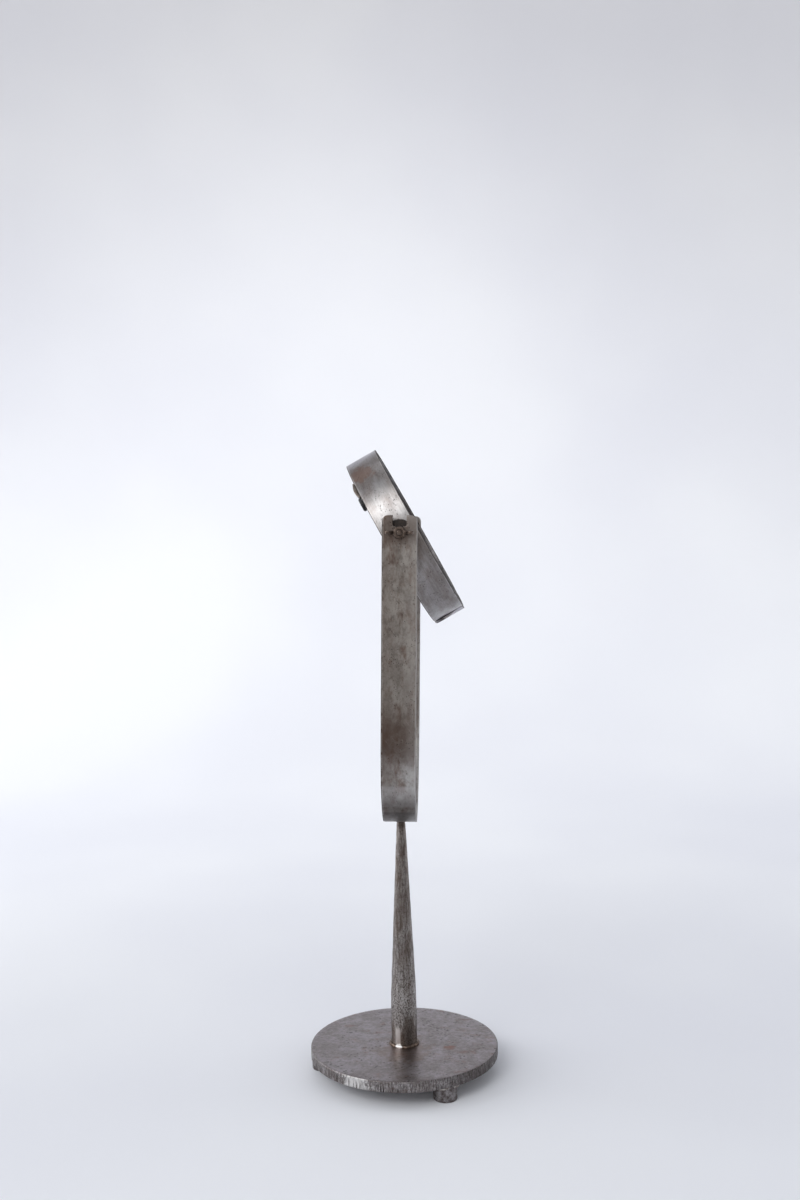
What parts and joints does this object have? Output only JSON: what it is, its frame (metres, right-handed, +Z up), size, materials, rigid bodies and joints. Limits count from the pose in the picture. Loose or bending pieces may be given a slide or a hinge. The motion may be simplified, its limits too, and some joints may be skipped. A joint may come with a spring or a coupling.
{
  "type": "desk sculpture with tilting hoop",
  "caption": "Welded steel desk sculpture: a round footed plate and tapered post carry a U-shaped yoke, in which a flat-bar hoop with a small rim magnet tilts on clamped pivots.",
  "frame": {"origin": "on the surface that the feet stand on, at the middle of the base plate", "axes": "+Z up, Y along the hoop's pivot axis with -Y at the front, +X to the right seen from the front"},
  "size_m": [0.144, 0.1672, 0.4747],
  "materials": {
    "plate_steel": "satin, mill scale and light rust",
    "forged_steel": "hammered, waxed",
    "bar_steel": "satin brown patina",
    "hoop_steel": "ground bright",
    "foot_steel": "sawn and waxed",
    "weld_metal": "smooth bead",
    "hardware_steel": "satin",
    "disc_fibre": "matte",
    "ferrite": "matte"
  },
  "bodies": {
    "stand": {"base_plate": "plate_steel", "front_foot": "foot_steel", "left_foot": "foot_steel", "back_foot": "foot_steel", "front_foot_weld": "weld_metal", "left_foot_weld": "weld_metal", "back_foot_weld": "weld_metal", "post": "forged_steel", "post_foot_weld": "weld_metal", "post_top_weld": "weld_metal", "yoke_strap": "bar_steel"},
    "pivot_discs": {"front_friction_disc": "disc_fibre", "back_friction_disc": "disc_fibre"},
    "hoop": {"hoop_band": "hoop_steel", "lap_weld": "weld_metal", "front_pivot_bolt": "hardware_steel", "back_pivot_bolt": "hardware_steel", "front_bolt_weld": "weld_metal", "back_bolt_weld": "weld_metal", "magnet_lug": "bar_steel", "lug_weld": "weld_metal"},
    "front_nut": {"front_wing_nut": "hardware_steel"},
    "back_nut": {"back_wing_nut": "hardware_steel"},
    "magnet": {"rim_magnet": "ferrite"}
  },
  "joints": [
    {"name": "hoop_lift", "type": "slide", "parent": "stand", "child": "pivot_discs", "axis": [0.0218, 0, 0.9998], "range_m": [0, 0.02]},
    {"name": "hoop_tilt", "type": "hinge", "parent": "pivot_discs", "child": "hoop", "pos_m": [0.00479, 0, 0.41305], "axis": [0, 1, 0], "continuous": true},
    {"name": "front_nut_turn", "type": "hinge", "parent": "hoop", "child": "front_nut", "pos_m": [0.00479, 0, 0.41305], "axis": [0, -1, 0], "range_deg": [0, 360]},
    {"name": "back_nut_turn", "type": "hinge", "parent": "hoop", "child": "back_nut", "pos_m": [0.00479, 0, 0.41305], "axis": [0, 1, 0], "range_deg": [0, 360]},
    {"name": "magnet_pull", "type": "slide", "parent": "hoop", "child": "magnet", "axis": [-0.8767, 0, -0.481], "range_m": [0, 0.02]}
  ]
}
